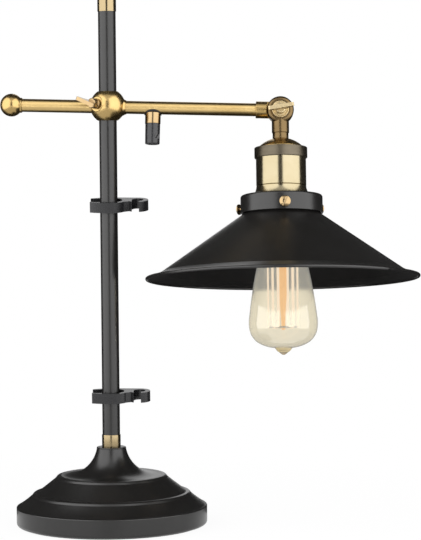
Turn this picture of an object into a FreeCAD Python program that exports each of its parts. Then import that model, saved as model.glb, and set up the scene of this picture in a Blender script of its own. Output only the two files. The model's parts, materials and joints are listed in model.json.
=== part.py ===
import FreeCAD, Part
import math
import os

# Industrial pipe table lamp, in millimetres.
# Origin on the table under the pole, +Z up the pole, +X along the arm, -Y towards the viewer.

# Overall places
arm_height = 392.5
lamp_height = 493.2
upper_clip_height = 300.6
lower_clip_height = 121.2
outlet_reach = 42.4
hinge_reach = 161.2
knob_reach = 89.9

# How the arm and the head stand in the rest position
arm_droop = 1.6
arm_roll = 7.5
head_tilt = 1.75

# Clearances
running_gap = 0.06
seat_gap = 0.3

# Foot
foot_radius = 89.6
foot_band_top = 18.6
foot_band_rounding = 3.0
lower_step_radius = 73.4
lower_step_height = 31.0
upper_step_radius = 51.0
upper_step_height = 47.2
step_rounding = 2.2
step_land = 3.4
step_foot = 1.7
step_drop = 2.4
neck_radius = 13.8
neck_height = 73.7
foot_wall = 1.2
foot_lip_width = 4.5
pad_thickness = 2.0
weight_thickness = 10.5
weight_post_radius = 10.5

# Pole and its end pieces
pole_diameter = 16.5
pole_wall = 1.5
trim_wall = 0.5
ferrule_length = 11.6
cap_length = 12.0
cap_crown = 3.5
plug_length = 27.0
tie_bolt_diameter = 10.0
tie_bolt_hole = 10.8
tie_bolt_head_width = 16.0
tie_bolt_head_height = 4.4
tie_bolt_thread = 20.0
tie_washer_radius = 10.0
tie_washer_thickness = 1.6
weight_recess_radius = 12.0
weight_fillet_height = 9.0
weight_fillet_width = 14.0
weight_edge = 1.5

# Cord clips
clip_height = 9.7
clip_wall = 3.7
clip_grip_gap = 0.25
clip_arm_reach = 17.3
clip_mouth = 11.6
clip_round_offset = 3.2
clip_loop_radius = 5.5
clip_loop_wall = 4.5
clip_loop_reach = 27.0
clip_loop_offset = 1.5
clip_loop_mouth = 6.8
upper_clip_tilt = 11.0
lower_clip_tilt = 6.0

# Ball clamp
ball_diameter = 33.0
ball_height = 27.2
ball_rise = 0.9
liner_wall = 0.6
rod_diameter = 12.2
rod_socket_floor = 11.2
neck_fillet_radius = 3.0
clamp_boss_radius = 7.3
clamp_boss_reach = 15.6
clamp_screw_azimuth = 40.0
clamp_screw_lift = 6.0
clamp_wing_turn = -19.5

# Counterweight rod
knob_diameter = 21.3
knob_neck_radius = 7.0
knob_neck_length = 2.0
knob_socket_depth = 5.0

# Arm tube and cord outlet
arm_tube_wall = 1.1
wire_hole_radius = 3.0
saddle_thickness = 0.9
saddle_radius = 8.2
saddle_top = 2.4
saddle_arch_radius = 9.6
outlet_collar_radius = 7.25
outlet_collar_drop = 15.2
outlet_grip_radius = 6.95
outlet_grip_end_radius = 6.75
outlet_grip_drop = 34.3
outlet_spigot_radius = 5.2
outlet_spigot_length = 4.5
outlet_bore_radius = 4.0
outlet_screw_drop = 26.8
outlet_screw_radius = 3.2
outlet_shank_radius = 1.7
outlet_screw_azimuth = 43.0

# Hinge
knuckle_radius = 12.6
knuckle_half_width = 8.0
knuckle_rounding = 3.5
knuckle_face_gap = 0.3
knuckle_side_gap = 1.1
sleeve_radius = 7.95
sleeve_start = 22.8
sleeve_bore_depth = 9.0
hinge_recess_radius = 8.3
hinge_recess_depth = 1.0
friction_washer_radius = 7.0
friction_washer_thickness = 1.5
screw_diameter = 5.0
screw_clearance = 0.08
stem_radius = 8.05
stem_end = 21.5

# Wing screws
wing_width = 24.0
wing_thickness = 3.4
wing_root_width = 9.0
hub_radius = 4.7
hub_length = 5.5
clamp_flange_radius = 5.0
clamp_flange_thickness = 1.9
clamp_wing_reach = 16.0
hinge_flange_radius = 7.9
hinge_flange_thickness = 1.7
hinge_wing_reach = 18.8
hinge_wing_turn = 11.0

# Lampholder, measured down from the hinge axis
neck_nut_radius = 7.43
neck_nut_end = 27.0
nipple_radius = 5.0
nipple_bore_radius = 3.4
nipple_top = 14.5
nipple_end = 38.0
dome_sphere_radius = 29.3
dome_sphere_depth = 55.3
dome_edge_depth = 34.5
dome_wall = 1.0
ring_radius = 24.7
ring_top = 35.3
ring_height = 10.0
cup_radius = 23.35
cup_wall = 1.2
cup_groove_depth = 71.8
cup_flare_radius = 26.2
skirt_radius = 21.0
skirt_wall = 1.2
skirt_length = 19.0
insert_length_below = 33.0
insert_top_depth = 54.0
shell_radius = 14.0
shell_wall = 0.4
tongue_width = 5.0

# Shade and its fitter
fitter_radius = 38.25
fitter_wall = 1.5
fitter_top = 80.0
fitter_length = 16.8
fitter_rounding = 2.5
fitter_nut_radius = 27.5
fitter_nut_height = 5.0
fitter_screw_depth = 90.6
fitter_screw_count = 3
fitter_screw_turn = 2.0
fitter_screw_radius = 2.0
fitter_screw_head_radius = 5.05
fitter_screw_head_height = 2.4
fitter_screw_stand_off = 5.6
shade_neck_gap = 1.1
shade_wall = 1.0
shade_neck_top = 84.0
shade_cone_top = 97.3
shade_cone_end_radius = 113.0
shade_cone_end_depth = 151.4
shade_rim_radius = 126.0
shade_rim_depth = 157.2
shade_bead_radius = 1.5

# Bulb, measured down from the hinge axis
bulb_contact_depth = 89.0
bulb_cap_radius = 13.2
bulb_cap_length = 26.0
bulb_insulator_height = 5.0
bulb_radius = 32.0
bulb_widest_depth = 199.0
bulb_glass_end = 222.6
bulb_tip_depth = 228.7
bulb_pip_radius = 7.9
bulb_glass_wall = 0.9
bulb_stem_radius = 3.6
bulb_stem_flare = 11.0
bulb_stem_end = 172.0
bulb_rod_radius = 1.8
bulb_rod_start = 200.0
bulb_rod_end = 205.5
cage_radius = 14.0
cage_top = 128.0
cage_pairs = 6
cage_pair_half_angle = 12.0
cage_rise = 2.5
cage_wire = 0.35
spider_radius = 0.5

# Derived sizes
pole_radius = pole_diameter / 2
pole_bore = pole_radius - pole_wall
trim_radius = pole_radius + trim_wall
ball_radius = ball_diameter / 2
liner_inner = pole_radius + running_gap
liner_outer = liner_inner + liner_wall
ball_bore = liner_outer + running_gap
rod_radius = rod_diameter / 2
tube_bore = rod_radius - arm_tube_wall
screw_radius = screw_diameter / 2
ring_end = ring_top + ring_height
skirt_end = fitter_top + skirt_length
bulb_cap_end = bulb_contact_depth + bulb_cap_length

X_AXIS = FreeCAD.Vector(1, 0, 0)
Y_AXIS = FreeCAD.Vector(0, 1, 0)
Z_AXIS = FreeCAD.Vector(0, 0, 1)
ORIGIN = FreeCAD.Vector(0, 0, 0)


def turned(axis, degrees, place=ORIGIN):
    return FreeCAD.Placement(place, FreeCAD.Rotation(axis, degrees))


# Frames of the pieces that don't stand square to the pole
arm_frame = turned(Y_AXIS, arm_droop, FreeCAD.Vector(0, 0, arm_height)).multiply(turned(X_AXIS, -arm_roll))
head_frame = arm_frame.multiply(turned(Y_AXIS, -head_tilt, FreeCAD.Vector(hinge_reach, 0, 0)))
aim_azimuth = turned(Z_AXIS, -clamp_screw_azimuth, FreeCAD.Vector(0, 0, arm_height + ball_rise))
clamp_screw_frame = aim_azimuth.multiply(turned(X_AXIS, 90 - clamp_screw_lift))
hinge_screw_frame = arm_frame.multiply(turned(X_AXIS, 90, FreeCAD.Vector(hinge_reach, 0, 0)))
upper_clip_frame = turned(X_AXIS, upper_clip_tilt, FreeCAD.Vector(0, 0, upper_clip_height))
lower_clip_frame = turned(X_AXIS, lower_clip_tilt, FreeCAD.Vector(0, 0, lower_clip_height))


class Arc:
    """The outline's next stretch is an arc through middle to end."""

    def __init__(self, middle, end):
        self.middle = middle
        self.end = end


def corner_points(previous, corner, following, radius):
    """Start, middle and end of the arc that rounds a corner of an outline."""
    before = (previous - corner).normalize()
    after = (following - corner).normalize()
    half_angle = before.getAngle(after) / 2
    start = corner + before * (radius / math.tan(half_angle))
    end = corner + after * (radius / math.tan(half_angle))
    inward = (before + after).normalize()
    middle = corner + inward * (radius / math.sin(half_angle) - radius)
    return start, middle, end


def outline_wire(steps, to_vector):
    """Closed wire through steps: (a, b), (a, b, corner radius), or an Arc."""
    def ending(step):
        return to_vector(*(step.end if isinstance(step, Arc) else step)[:2])

    edges = []
    cursor = ending(steps[0])
    count = len(steps)
    first_start = cursor
    for number in range(1, count + 1):
        step = steps[number % count]
        target = ending(step)
        if isinstance(step, Arc):
            edges.append(Part.Arc(cursor, to_vector(*step.middle), target).toShape())
            cursor = target
            continue
        radius = step[2] if len(step) > 2 else 0
        if radius and number < count:
            start, middle, end = corner_points(cursor, target, ending(steps[(number + 1) % count]), radius)
            if (start - cursor).Length > 1e-6:
                edges.append(Part.LineSegment(cursor, start).toShape())
            edges.append(Part.Arc(start, middle, end).toShape())
            cursor = end
        elif (target - cursor).Length > 1e-6:
            edges.append(Part.LineSegment(cursor, target).toShape())
            cursor = target
    assert (cursor - first_start).Length < 1e-6
    return Part.Wire(edges)


def spun(steps):
    """Solid made by turning an outline of (radius, height) steps about the Z axis."""
    face = Part.Face(outline_wire(steps, lambda radius, height: FreeCAD.Vector(radius, 0, height)))
    solid = face.revolve(ORIGIN, Z_AXIS, 360)
    return solid if solid.Volume > 0 else solid.reversed()


def spun_below(steps):
    """As spun, with each height given as a depth below the hinge axis."""
    def flip(step):
        if isinstance(step, Arc):
            return Arc((step.middle[0], -step.middle[1]), (step.end[0], -step.end[1]))
        return (step[0], -step[1]) + tuple(step[2:])

    return spun([flip(step) for step in steps])


def plate(steps, low, high):
    """Flat outline of (x, y) steps, extruded from low to high along Z."""
    face = Part.Face(outline_wire(steps, lambda x, y: FreeCAD.Vector(x, y, low)))
    return face.extrude(FreeCAD.Vector(0, 0, high - low))


def tube(outer, inner, low, high):
    return spun([(inner, low), (outer, low), (outer, high), (inner, high)])


def rod(radius, start, end):
    """Plain cylinder between two points."""
    span = end - start
    return Part.makeCylinder(radius, span.Length, start, span)


def rod_x(radius, start, end):
    return rod(radius, FreeCAD.Vector(start, 0, 0), FreeCAD.Vector(end, 0, 0))


def rod_y(radius, start, end):
    return rod(radius, FreeCAD.Vector(0, start, 0), FreeCAD.Vector(0, end, 0))


def rod_z(radius, start, end):
    return rod(radius, FreeCAD.Vector(0, 0, start), FreeCAD.Vector(0, 0, end))


def hexagon(width, low, high):
    """Hexagonal prism, width across its flats."""
    corner = width / math.sqrt(3)
    ring = [math.radians(60 * k) for k in range(6)]
    return plate([(corner * math.cos(a), corner * math.sin(a)) for a in ring], low, high)


def placed(shape, frame):
    moved = shape.copy()
    moved.Placement = frame.multiply(moved.Placement)
    return moved


# Foot

def foot_outline(inset):
    """Outer side of the stepped dome from its neck to its band, moved in and down by inset."""
    sweep_neck = (neck_radius + 6.8, upper_step_height + 10.6)
    sweep_upper = (upper_step_radius + 9.2, upper_step_height - 8.4)
    sweep_lower = (lower_step_radius + 7.0, lower_step_height - 6.8)
    return [
        (neck_radius - inset, neck_height - inset, 0.9),
        (neck_radius - inset, neck_height - 1.6 - inset),
        Arc((sweep_neck[0] - inset, sweep_neck[1] - inset),
            (upper_step_radius - step_land - inset, upper_step_height + 0.4 - inset)),
        (upper_step_radius - inset, upper_step_height - inset, step_rounding),
        (upper_step_radius + step_foot - inset, upper_step_height - step_drop - inset),
        Arc((sweep_upper[0] - inset, sweep_upper[1] - inset),
            (lower_step_radius - step_land - inset, lower_step_height + 0.4 - inset)),
        (lower_step_radius - inset, lower_step_height - inset, step_rounding),
        (lower_step_radius + step_foot - inset, lower_step_height - step_drop - inset),
        Arc((sweep_lower[0] - inset, sweep_lower[1] - inset),
            (foot_radius - 1.9 - inset, foot_band_top + 0.5 - inset)),
    ]


def foot_shell():
    """Spun steel dome with an inward lip at the bottom and a hole for the tie bolt in its neck."""
    lip_low = pad_thickness - foot_wall
    outer = foot_outline(0)
    inner = foot_outline(foot_wall)
    inner_return = [
        (foot_radius - foot_wall, pad_thickness),
        (foot_radius - foot_wall, foot_band_top - foot_wall - 1.0),
    ]
    shell = spun(
        [(0, neck_height)] + outer
        + [(foot_radius, foot_band_top - 0.4, 0.9), (foot_radius, lip_low, foot_band_rounding),
           (foot_radius - foot_lip_width, lip_low),
           (foot_radius - foot_lip_width, pad_thickness)]
        + inner_return + reversed_outline(inner) + [(0, neck_height - foot_wall)])
    return shell.cut(rod_z(tie_bolt_hole / 2, neck_height - 2 * foot_wall, neck_height + 1))


def reversed_outline(steps):
    """The same outline run from its last step to its first."""
    flipped = []
    for number in range(len(steps) - 1, -1, -1):
        step = steps[number]
        if number + 1 < len(steps) and isinstance(steps[number + 1], Arc):
            end = step.end if isinstance(step, Arc) else step[:2]
            flipped.append(Arc(steps[number + 1].middle, end))
        else:
            flipped.append(step.end if isinstance(step, Arc) else step)
    return flipped


def foot_weight():
    """Cast disc with a post that carries the neck of the shell."""
    top = pad_thickness + weight_thickness
    rim = foot_radius - foot_lip_width - seat_gap
    post_top = neck_height - foot_wall
    recess_top = pad_thickness + 2 * weight_thickness / 3
    body = spun([
        (0, pad_thickness), (rim, pad_thickness, 0.8), (rim, top - weight_edge), (rim - weight_edge, top),
        (weight_post_radius + weight_fillet_width, top, 6.0),
        (weight_post_radius, top + weight_fillet_height, 8.0),
        (weight_post_radius, post_top), (0, post_top)])
    body = body.cut(rod_z(tie_bolt_hole / 2, pad_thickness - 1, post_top + 1))
    return body.cut(rod_z(weight_recess_radius, pad_thickness - 1, recess_top))


def tie_washer():
    top = pad_thickness + 2 * weight_thickness / 3
    return tube(tie_washer_radius, tie_bolt_hole / 2, top - tie_washer_thickness, top)


def tie_bolt():
    """Hexagon bolt that holds the pole, the shell and the weight together."""
    seat = pad_thickness + 2 * weight_thickness / 3 - tie_washer_thickness
    head = hexagon(tie_bolt_head_width, seat - tie_bolt_head_height, seat)
    shank = rod_z(tie_bolt_diameter / 2, seat, neck_height + tie_bolt_thread)
    return head.fuse(shank).removeSplitter()


def foot_pad():
    pad_radius = foot_radius - foot_lip_width - 0.5
    return spun([(0, 0), (pad_radius, 0), (pad_radius, pad_thickness),
                 (0, pad_thickness)])


# Pole

def pole_tube():
    return tube(pole_radius, pole_bore, neck_height, lamp_height - cap_crown)


def pole_plug():
    """Threaded plug in the foot of the pole, for the tie bolt."""
    body = rod_z(pole_bore, neck_height, neck_height + plug_length)
    return body.cut(rod_z(tie_bolt_diameter / 2, neck_height - 1, neck_height + tie_bolt_thread))


def pole_ferrule():
    low, high = neck_height, neck_height + ferrule_length
    return spun([(pole_radius, low), (trim_radius, low, 0.2),
                 (trim_radius, high, 0.3), (pole_radius, high)])


def pole_cap():
    low = lamp_height - cap_length
    crown = lamp_height - cap_crown
    return spun([(0, lamp_height), (trim_radius, lamp_height, 1.0), (trim_radius, low, 0.2),
                 (pole_radius, low), (pole_radius, crown), (0, crown)])


# Cord clips

def clip_loop_outline(half_width, mouth_half, reach):
    """Oval with its open end towards -X: two bowed arms and a half circle."""
    shoulder = clip_round_offset
    bow = ((shoulder - reach) / 2, half_width - (half_width - mouth_half) / 4)
    return [
        (-reach, -mouth_half),
        Arc((bow[0], -bow[1]), (shoulder, -half_width)),
        Arc((shoulder + half_width, 0), (shoulder, half_width)),
        Arc((bow[0], bow[1]), (-reach, mouth_half)),
    ]


def cord_clip():
    """Snap clip: a wide C round the pole and a small C at its side for the cord."""
    half_height = clip_height / 2
    tilt = math.radians(upper_clip_tilt)
    inner_half = pole_radius / math.cos(tilt) + half_height * math.tan(tilt) + clip_grip_gap
    outer_half = inner_half + clip_wall
    loop_outer = clip_loop_radius + clip_loop_wall
    jaw = clip_loop_reach - clip_loop_radius + 0.1
    loop_centre = FreeCAD.Vector(clip_loop_reach, clip_loop_offset, -half_height)
    outline = clip_loop_outline(outer_half, clip_mouth / 2 + clip_wall, clip_arm_reach)
    body = plate(outline, -half_height, half_height)
    web = plate([(clip_round_offset, -outer_half), (jaw, -clip_loop_wall + 1.0), (jaw, clip_loop_offset),
                 (clip_loop_reach, clip_loop_offset + loop_outer), (clip_round_offset, outer_half)],
                -half_height, half_height)
    loop = Part.makeCylinder(loop_outer, clip_height, loop_centre)
    body = body.fuse([web, loop])
    hollow = plate(clip_loop_outline(inner_half, clip_mouth / 2, clip_arm_reach + 1),
                   -clip_height, clip_height)
    cord_hole = Part.makeCylinder(clip_loop_radius, 2 * clip_height, loop_centre - Z_AXIS * half_height)
    mouth_start = FreeCAD.Vector(jaw, clip_loop_offset - 2 * loop_outer, -clip_height)
    mouth = Part.makeBox(clip_loop_mouth, 2 * loop_outer, 2 * clip_height, mouth_start)
    return body.cut([hollow, cord_hole, mouth]).removeSplitter()


# Ball clamp and counterweight rod, in the arm's frame unless a line says otherwise

def clamp_liner():
    """Thin sleeve between the pole and the ball, in the lamp's frame."""
    half = ball_height / 2
    middle = arm_height + ball_rise
    return tube(liner_outer, liner_inner, middle - half, middle + half)


def clamp_ball():
    """Ball with a hole for the pole, a socket for each rod and a boss for the wing screw."""
    centre = FreeCAD.Vector(0, 0, arm_height)
    half = ball_height / 2
    band = rod_z(ball_radius + 1, ball_rise - half, ball_rise + half)
    ball = Part.makeSphere(ball_radius, Z_AXIS * ball_rise)
    fillet_start = ball_radius - 1.4
    fillet_end = fillet_start + neck_fillet_radius
    neck = spun([(0, fillet_start - 5), (rod_radius + neck_fillet_radius - 0.6, fillet_start - 1.5),
                 Arc((rod_radius + 1.0, fillet_start + 0.8), (rod_radius + 0.2, fillet_end)),
                 (0, fillet_end)])
    ball = ball.fuse(placed(neck, turned(Y_AXIS, 90 + arm_droop)))
    ball = ball.common(band)
    ball.translate(centre)
    boss = spun([(0, 0), (clamp_boss_radius, 0), (clamp_boss_radius, clamp_boss_reach, 0.8),
                 (0, clamp_boss_reach)])
    ball = ball.fuse(placed(boss, clamp_screw_frame))
    sockets = [placed(rod_x(rod_radius, side * rod_socket_floor, side * 3 * ball_radius), arm_frame)
               for side in (-1, 1)]
    thread = placed(rod_z(screw_radius + screw_clearance, 0, 2 * ball_radius), clamp_screw_frame)
    facing = placed(rod_z(clamp_boss_radius, clamp_boss_reach, 2 * ball_radius), clamp_screw_frame)
    pole_hole = rod_z(ball_bore, arm_height - 2 * ball_radius, arm_height + 2 * ball_radius)
    return ball.cut(sockets + [thread, facing, pole_hole])


def counter_rod():
    return rod_x(rod_radius, -rod_socket_floor, -(knob_reach - knob_socket_depth))


def counter_knob():
    """Turned ball with a short neck, screwed on the end of the rod."""
    radius = knob_diameter / 2
    neck_end = radius * 0.75 + knob_neck_length
    ball = Part.makeSphere(radius).fuse(spun([(0, 0), (knob_neck_radius, 0), (knob_neck_radius, neck_end, 0.4),
                                              (0, neck_end)]))
    ball = placed(ball, turned(Y_AXIS, 90, FreeCAD.Vector(-knob_reach, 0, 0)))
    return ball.cut(rod_x(rod_radius, -knob_reach + knob_socket_depth, 0)).removeSplitter()


# Arm tube and cord outlet, in the arm's frame

def arm_tube_end():
    return hinge_reach - sleeve_start + sleeve_bore_depth


def arm_tube():
    body = rod_x(rod_radius, rod_socket_floor, arm_tube_end())
    body = body.cut(rod_x(tube_bore, rod_socket_floor - 1, arm_tube_end() + 1))
    drop = FreeCAD.Vector(outlet_reach, 0, 0)
    return body.cut(rod(wire_hole_radius, drop, drop - Z_AXIS * 2 * rod_radius))


def outlet_saddle():
    """Curved washer between the arm tube and the outlet collar."""
    outer = rod_x(rod_radius + saddle_thickness, -saddle_radius, saddle_radius)
    inner = rod_x(rod_radius, -saddle_radius - 1, saddle_radius + 1)
    arch = rod_y(saddle_arch_radius, -2 * rod_radius, 2 * rod_radius)
    arch.translate(-Z_AXIS * (saddle_top + saddle_arch_radius))
    patch = outer.cut(inner).common(rod_z(saddle_radius, -2 * rod_radius, -saddle_top)).common(arch)
    patch = patch.cut(rod_z(wire_hole_radius, -2 * rod_radius, 0))
    patch.translate(X_AXIS * outlet_reach)
    return patch


def outlet_collar():
    """Brass collar coped over the saddle, with the grip's spigot inside."""
    grip_top = outlet_grip_top()
    body = spun([(wire_hole_radius, -rod_radius * 0.8), (outlet_collar_radius, -rod_radius * 0.8, 0.3),
                 (outlet_collar_radius, -outlet_collar_drop, 0.3), (outlet_spigot_radius, -outlet_collar_drop),
                 (outlet_spigot_radius, grip_top), (wire_hole_radius, grip_top)])
    body = body.cut(rod_x(rod_radius + saddle_thickness, -2 * saddle_radius, 2 * saddle_radius))
    body.translate(X_AXIS * outlet_reach)
    return body


def outlet_grip_top():
    return -outlet_collar_drop + outlet_spigot_length


def outlet_screw_frame():
    return turned(Z_AXIS, outlet_screw_azimuth, FreeCAD.Vector(outlet_reach, 0, -outlet_screw_drop)).multiply(
        turned(X_AXIS, 90))


def outlet_grip():
    """Plastic cord grip that screws into the collar and holds the cord with a side screw."""
    end = -outlet_grip_drop
    body = spun([(outlet_bore_radius, outlet_grip_top()), (outlet_spigot_radius, outlet_grip_top()),
                 (outlet_spigot_radius, -outlet_collar_drop), (outlet_grip_radius, -outlet_collar_drop, 0.2),
                 (outlet_grip_end_radius, end, 0.8), (outlet_bore_radius + 0.6, end),
                 (outlet_bore_radius, end + 0.6)])
    body.translate(X_AXIS * outlet_reach)
    hole = rod_z(outlet_screw_radius, outlet_spigot_radius, 2 * outlet_grip_radius)
    hole = hole.fuse(rod_z(outlet_shank_radius, 0, outlet_spigot_radius))
    return body.cut(placed(hole, outlet_screw_frame()))


def outlet_screw():
    """Slotted screw, its head just inside the grip's side and its tip clear of the bore."""
    head = outlet_grip_end_radius - 0.25
    body = rod_z(outlet_screw_radius, outlet_spigot_radius, head)
    body = body.fuse(rod_z(outlet_shank_radius, outlet_bore_radius + 0.4, outlet_spigot_radius))
    slot = Part.makeBox(2 * outlet_screw_radius, 1.1, 1.2,
                        FreeCAD.Vector(-outlet_screw_radius, -0.55, head - 0.9))
    slot.rotate(ORIGIN, Z_AXIS, 55)
    return placed(body.cut(slot), outlet_screw_frame())


# Hinge, about the Y axis through its own centre

def knuckle_ear(recessed):
    """Half of the round knuckle, its flat face towards +Y and its rounded face towards -Y."""
    face = knuckle_face_gap / 2
    flat = knuckle_radius - knuckle_rounding
    steps = [(0, face), (knuckle_radius, face), (knuckle_radius, knuckle_half_width, knuckle_rounding)]
    if recessed:
        floor = knuckle_half_width - hinge_recess_depth
        steps += [(hinge_recess_radius, knuckle_half_width), (hinge_recess_radius, floor), (0, floor)]
    else:
        steps += [(flat / 2, knuckle_half_width), (0, knuckle_half_width)]
    return placed(spun(steps), turned(X_AXIS, 90))


def washer_pocket_depth():
    return (friction_washer_thickness - knuckle_face_gap) / 2 + running_gap


def knuckle_pocket(side):
    """Shallow pocket for the friction washer, cut from the flat face on one side."""
    face = side * knuckle_face_gap / 2
    return rod_y(friction_washer_radius + running_gap, 0, face + side * washer_pocket_depth())


def arm_knuckle():
    """Sleeve on the end of the arm tube, with the rear half of the knuckle."""
    clear = knuckle_radius + knuckle_side_gap
    sleeve = spun([(0, 2), (sleeve_radius, 2), (sleeve_radius, sleeve_start, 0.4), (0, sleeve_start)])
    sleeve = placed(sleeve, turned(Y_AXIS, -90))
    sleeve = sleeve.cut(rod_y(clear, -2 * sleeve_radius, knuckle_face_gap / 2))
    ear = placed(knuckle_ear(False), turned(Z_AXIS, 180))
    body = ear.fuse(sleeve)
    body = body.cut([knuckle_pocket(1), rod_y(screw_radius + screw_clearance, -1, 2 * knuckle_half_width),
                     rod_x(rod_radius, -sleeve_start - 1, -sleeve_start + sleeve_bore_depth)])
    body.translate(X_AXIS * hinge_reach)
    return body


def friction_washer():
    inner = screw_radius + 0.4
    half = friction_washer_thickness / 2
    body = placed(tube(friction_washer_radius, inner, -half, half), turned(X_AXIS, 90))
    body.translate(X_AXIS * hinge_reach)
    return body


def head_knuckle():
    """Front half of the knuckle with the stem that carries the lampholder."""
    clear = knuckle_radius + knuckle_side_gap
    stem = spun([(0, -2), (stem_radius, -2), (stem_radius, -stem_end, 0.5), (0, -stem_end)])
    recess = rod_y(hinge_recess_radius, hinge_recess_depth - knuckle_half_width, -2 * knuckle_half_width)
    stem = stem.cut([rod_y(clear, -knuckle_face_gap / 2, 2 * stem_radius), recess])
    body = knuckle_ear(True).fuse(stem)
    return body.cut([knuckle_pocket(-1), rod_y(screw_radius + screw_clearance, 1, -2 * knuckle_half_width),
                     rod_z(nipple_radius, -stem_end - 1, -nipple_top)])


# Wing screws, along +Z from the face that they seat on

def wing_screw(flange_radius, flange_thickness, reach, shank, turn):
    """Thumb screw with a round flange, a hub and one flat wing."""
    flange = spun([(0, 0), (flange_radius, 0), (flange_radius, flange_thickness, 0.5),
                   (flange_radius - 1.6, flange_thickness - 0.4), (0, flange_thickness - 0.4)])
    hub = spun([(0, 0.2), (hub_radius, 0.2), (hub_radius, flange_thickness + hub_length, 1.0),
                (0, flange_thickness + hub_length)])
    root = flange_thickness + 0.6
    bend = root + (reach - root) * 0.55
    half = wing_width / 2
    wing = plate([(0, root), (wing_root_width / 2, root), (half * 0.62, bend, 3.0), (half, reach - 2.2, 1.0),
                  (half, reach, 1.2), (-half, reach, 1.2), (-half, reach - 2.2, 1.0), (-half * 0.62, bend, 3.0),
                  (-wing_root_width / 2, root)], -wing_thickness / 2, wing_thickness / 2)
    wing = placed(wing, turned(X_AXIS, 90))
    body = flange.fuse([hub, wing, rod_z(screw_radius, -shank, 1)])
    body.rotate(ORIGIN, Z_AXIS, turn)
    return body.removeSplitter()


def clamp_screw():
    seat = clamp_boss_reach + seat_gap
    tip = liner_outer / math.cos(math.radians(clamp_screw_lift)) + 0.4
    screw = wing_screw(clamp_flange_radius, clamp_flange_thickness, clamp_wing_reach,
                       seat - tip, clamp_wing_turn)
    screw.translate(Z_AXIS * seat)
    return screw


def hinge_screw():
    seat = knuckle_half_width - hinge_recess_depth + seat_gap
    length = seat + knuckle_half_width - 0.8
    screw = wing_screw(hinge_flange_radius, hinge_flange_thickness, hinge_wing_reach,
                       length, hinge_wing_turn)
    screw.translate(Z_AXIS * seat)
    return screw


# Lampholder, below the hinge in the head's frame

def neck_nut():
    top, end = stem_end, neck_nut_end
    return spun_below([(nipple_radius, top), (neck_nut_radius, top), (neck_nut_radius, end, 0.3),
                       (nipple_radius, end)])


def neck_nipple():
    return tube(nipple_radius, nipple_bore_radius, -nipple_end, -nipple_top)


def dome_radius(depth):
    return math.sqrt(dome_sphere_radius ** 2 - (dome_sphere_depth - depth) ** 2)


def socket_cap():
    """Domed cap of the lampholder, with a flange that the ring clamps on the cup."""
    edge = dome_radius(dome_edge_depth)
    half_way = (neck_nut_end + dome_edge_depth) / 2 + 0.4
    inner = dome_wall
    flange = ring_top + 1.2
    return spun_below([
        (nipple_radius, neck_nut_end), (neck_nut_radius + 0.6, neck_nut_end),
        Arc((dome_radius(half_way), half_way), (edge, dome_edge_depth)),
        (edge + 0.3, flange - 0.2), (cup_radius - 0.4, flange - 0.2), (cup_radius - 0.4, flange + dome_wall),
        (edge - inner, flange + dome_wall),
        (edge - inner, dome_edge_depth + 0.6),
        Arc((dome_radius(half_way) - 0.6 * inner, half_way + 0.9 * inner),
            (neck_nut_radius + 0.6, neck_nut_end + inner)),
        (nipple_radius, neck_nut_end + inner)])


def cap_flange_end():
    return ring_top + 1.2 + dome_wall


def nipple_locknut():
    low = neck_nut_end + dome_wall
    nut = hexagon(14.0, -(low + 3.0), -low)
    return nut.cut(rod_z(nipple_radius, -low - 4, -low + 1))


def socket_ring():
    """Brushed union ring round the joint of cap and cup."""
    lip = ring_top + 1.0
    lip_radius = dome_radius(dome_edge_depth) + 0.5
    return spun_below([(lip_radius, ring_top), (ring_radius, ring_top, 0.8), (ring_radius, ring_end, 0.8),
                       (cup_radius, ring_end), (cup_radius, lip), (lip_radius, lip)])


def socket_cup():
    """Brass cup that flares out on the fitter, with a threaded skirt below."""
    top = cap_flange_end()
    inner = cup_radius - cup_wall
    floor = fitter_top - 1.3
    return spun_below([
        (inner, top), (cup_radius, top), (cup_radius, cup_groove_depth - 0.8),
        (cup_radius - 0.45, cup_groove_depth - 0.3), (cup_radius, cup_groove_depth + 0.2),
        (cup_radius, cup_groove_depth + 1.2),
        Arc((cup_radius + 1.0, fitter_top - 3.6), (cup_flare_radius, fitter_top - 0.4)),
        (cup_flare_radius, fitter_top), (skirt_radius, fitter_top), (skirt_radius, skirt_end),
        (skirt_radius - skirt_wall, skirt_end), (skirt_radius - skirt_wall, floor), (inner, floor)])


def socket_insert():
    """Porcelain body that holds the contacts and rests on the cup's floor."""
    wide = cup_radius - cup_wall
    narrow = skirt_radius - skirt_wall
    end = fitter_top + insert_length_below
    floor = bulb_contact_depth - 2.5
    return spun_below([
        (nipple_radius, insert_top_depth), (wide - 4, insert_top_depth, 1.5),
        (wide, insert_top_depth + 4, 1.5), (wide, fitter_top - 1.3), (narrow, fitter_top - 1.3),
        (narrow, skirt_end + 1), (shell_radius + 3, skirt_end + 3),
        (shell_radius + 3, end, 0.6), (shell_radius, end), (shell_radius, floor), (2.6, floor),
        (2.6, floor - 8), (nipple_radius, floor - 12)])


def contact_shell():
    """Threaded brass shell that the bulb screws into."""
    end = fitter_top + insert_length_below - 1.0
    top = bulb_contact_depth - 2.5
    inner = shell_radius - shell_wall
    return spun_below([(shell_radius, end), (shell_radius, top), (shell_radius - 3, top),
                       (shell_radius - 3, top + shell_wall), (inner, top + shell_wall), (inner, end)])


def contact_tongue():
    """Sprung centre contact, riveted to the floor of the insert."""
    floor = -(bulb_contact_depth - 2.5)
    tip = -(bulb_contact_depth - 0.3)
    strip = 0.35
    spring = plate([(-6.5, floor), (6.5, floor), (6.5, floor - strip), (2.8, floor - strip),
                    Arc((0, tip), (-4.2, floor - strip)), (-6.5, floor - strip)],
                   -tongue_width / 2, tongue_width / 2)
    spring = placed(spring, turned(X_AXIS, 90))
    return spring.fuse(rod_z(2.6, floor - 0.1, floor + 6)).removeSplitter()


# Shade fitter and shade

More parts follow.
